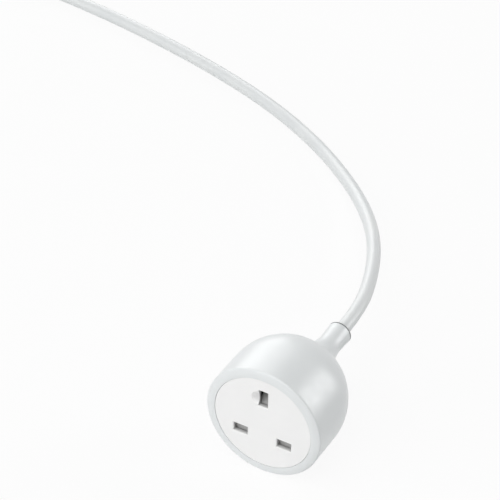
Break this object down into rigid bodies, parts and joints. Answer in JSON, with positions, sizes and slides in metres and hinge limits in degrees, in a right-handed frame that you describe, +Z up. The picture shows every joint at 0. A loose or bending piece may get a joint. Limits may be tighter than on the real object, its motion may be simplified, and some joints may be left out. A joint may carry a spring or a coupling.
{
  "type": "extension socket",
  "caption": "Round white trailing socket with a domed back and neck, shuttered slots for flat pins, on a white lead that is coiled and ends in a fused plug.",
  "frame": {"origin": "under the middle of the socket head, on the surface that it lies on", "axes": "+Z up, with the earth slot up; the socket's face looks along -Y and the lead leaves along +Y"},
  "size_m": [0.484, 0.2966, 0.0581],
  "materials": {
    "housing": "satin gloss",
    "face": "satin",
    "shutter": "matt",
    "spring_steel": "bright",
    "carrier": "matt",
    "contact_brass": "satin",
    "screw_steel": "zinc plated",
    "line_insulation": "satin",
    "neutral_insulation": "satin",
    "earth_insulation": "satin",
    "anchor": "matt",
    "cord": "gloss",
    "tie": "matt",
    "plug": "satin gloss",
    "relief": "satin",
    "pin_brass": "bright",
    "sleeve": "satin",
    "fuse_cover": "satin",
    "fuse_ceramic": "unglazed",
    "fuse_metal": "nickel plated"
  },
  "bodies": {
    "socket": {"housing": "housing", "face_plate": "face", "shutter_spring": "spring_steel", "contact_carrier": "carrier", "line_contact": "contact_brass", "neutral_contact": "contact_brass", "earth_contact": "contact_brass", "carrier_screws": "screw_steel", "line_core": "line_insulation", "neutral_core": "neutral_insulation", "earth_core": "earth_insulation", "cord_anchor": "anchor", "cord_inner_end": "cord", "cord_lead": "cord", "cord_coil": "cord", "cord_tail": "cord", "coil_tie": "tie", "plug_body": "plug", "plug_strain_relief": "relief", "plug_line_pin": "pin_brass", "plug_neutral_pin": "pin_brass", "plug_earth_pin": "pin_brass", "line_pin_sleeve": "sleeve", "neutral_pin_sleeve": "sleeve", "fuse_clips": "contact_brass"},
    "shutter": {"shutter": "shutter"},
    "fuse_holder": {"fuse_carrier": "fuse_cover", "fuse_tube": "fuse_ceramic", "fuse_caps": "fuse_metal"}
  },
  "joints": [
    {"name": "shutter_slide", "type": "slide", "parent": "socket", "child": "shutter", "axis": [0, 0, -1], "range_m": [0, 0.0054], "stiffness_N_per_m": 200, "deforming": ["shutter_spring"]},
    {"name": "fuse_pull", "type": "slide", "parent": "socket", "child": "fuse_holder", "axis": [0, 0, 1], "range_m": [0, 0.012]}
  ]
}
